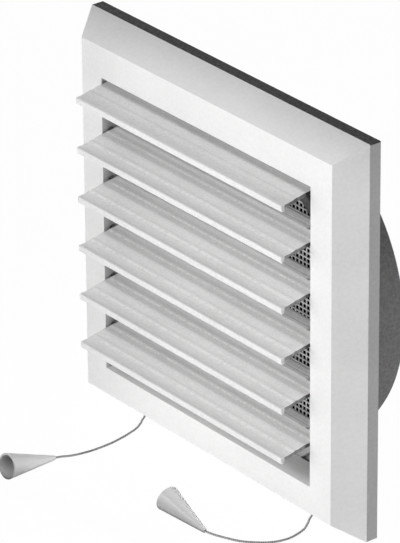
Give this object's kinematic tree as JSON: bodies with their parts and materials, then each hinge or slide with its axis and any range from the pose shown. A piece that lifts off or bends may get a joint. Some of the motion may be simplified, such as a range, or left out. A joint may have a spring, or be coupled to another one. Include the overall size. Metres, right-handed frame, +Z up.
{
  "type": "vent grille with shutter",
  "caption": "Square wall vent grille with tilting louvres that two pull cords open and close, an insect mesh and a round duct spigot behind.",
  "frame": {"origin": "bottom centre of the bounding box of the grille without its free cords and pulls, on the surface that it stands on", "axes": "+X to the right seen from the front, +Y from the front through the wall plane into the duct, +Z up"},
  "size_m": [0.19, 0.1221, 0.19],
  "materials": {
    "frame_plastic": "satin, smooth moulded",
    "louvre_plastic": "satin, smooth moulded",
    "base_plastic": "fine matt moulded",
    "spigot_plastic": "fine matt moulded",
    "mesh_plastic": "matt",
    "trim_plastic": "satin",
    "pull_plastic": "satin, smooth moulded",
    "cord_fabric": "braided"
  },
  "bodies": {
    "grille": {"front_frame": "frame_plastic", "wall_base": "base_plastic", "duct_spigot": "spigot_plastic", "insect_mesh": "mesh_plastic", "mesh_ring": "trim_plastic", "right_turn_post": "trim_plastic", "left_turn_post": "trim_plastic", "closing_cord_run": "cord_fabric", "opening_cord_guide": "trim_plastic", "closing_cord_guide": "trim_plastic", "opening_cord": "cord_fabric", "closing_cord": "cord_fabric", "opening_cord_knot": "cord_fabric", "closing_cord_knot": "cord_fabric", "opening_pull": "pull_plastic", "closing_pull": "pull_plastic"},
    "louvre_1": {"louvre_1": "louvre_plastic"},
    "louvre_2": {"louvre_2": "louvre_plastic"},
    "louvre_3": {"louvre_3": "louvre_plastic"},
    "louvre_4": {"louvre_4": "louvre_plastic"},
    "louvre_5": {"louvre_5": "louvre_plastic"},
    "louvre_6": {"louvre_6": "louvre_plastic"},
    "tie_bar": {"tie_bar": "trim_plastic", "opening_cord_run": "cord_fabric", "closing_cord_rise": "cord_fabric"}
  },
  "joints": [
    {"name": "louvre_1_hinge", "type": "hinge", "parent": "grille", "child": "louvre_1", "pos_m": [0, -0.01181, 0.1635], "axis": [1, 0, 0], "range_deg": [0, 71]},
    {"name": "louvre_2_hinge", "type": "hinge", "parent": "grille", "child": "louvre_2", "pos_m": [0, -0.01181, 0.1394], "axis": [1, 0, 0], "range_deg": [0, 71]},
    {"name": "louvre_3_hinge", "type": "hinge", "parent": "grille", "child": "louvre_3", "pos_m": [0, -0.01181, 0.1153], "axis": [1, 0, 0], "range_deg": [0, 71]},
    {"name": "louvre_4_hinge", "type": "hinge", "parent": "grille", "child": "louvre_4", "pos_m": [0, -0.01181, 0.0912], "axis": [1, 0, 0], "range_deg": [0, 71]},
    {"name": "louvre_5_hinge", "type": "hinge", "parent": "grille", "child": "louvre_5", "pos_m": [0, -0.01181, 0.0671], "axis": [1, 0, 0], "range_deg": [0, 71]},
    {"name": "louvre_6_hinge", "type": "hinge", "parent": "grille", "child": "louvre_6", "pos_m": [0, -0.01181, 0.043], "axis": [1, 0, 0], "range_deg": [0, 71]},
    {"name": "tie_bar_pin", "type": "hinge", "parent": "louvre_1", "child": "tie_bar", "pos_m": [0, -0.0057, 0.15914], "axis": [1, 0, 0], "range_deg": [-71, 0], "deforming": ["opening_cord_run", "closing_cord_rise"]}
  ],
  "couplings": [
    {"joint": "louvre_2_hinge", "follows": "louvre_1_hinge", "ratio": 1},
    {"joint": "louvre_3_hinge", "follows": "louvre_1_hinge", "ratio": 1},
    {"joint": "louvre_4_hinge", "follows": "louvre_1_hinge", "ratio": 1},
    {"joint": "louvre_5_hinge", "follows": "louvre_1_hinge", "ratio": 1},
    {"joint": "louvre_6_hinge", "follows": "louvre_1_hinge", "ratio": 1},
    {"joint": "tie_bar_pin", "follows": "louvre_1_hinge", "ratio": -1}
  ]
}
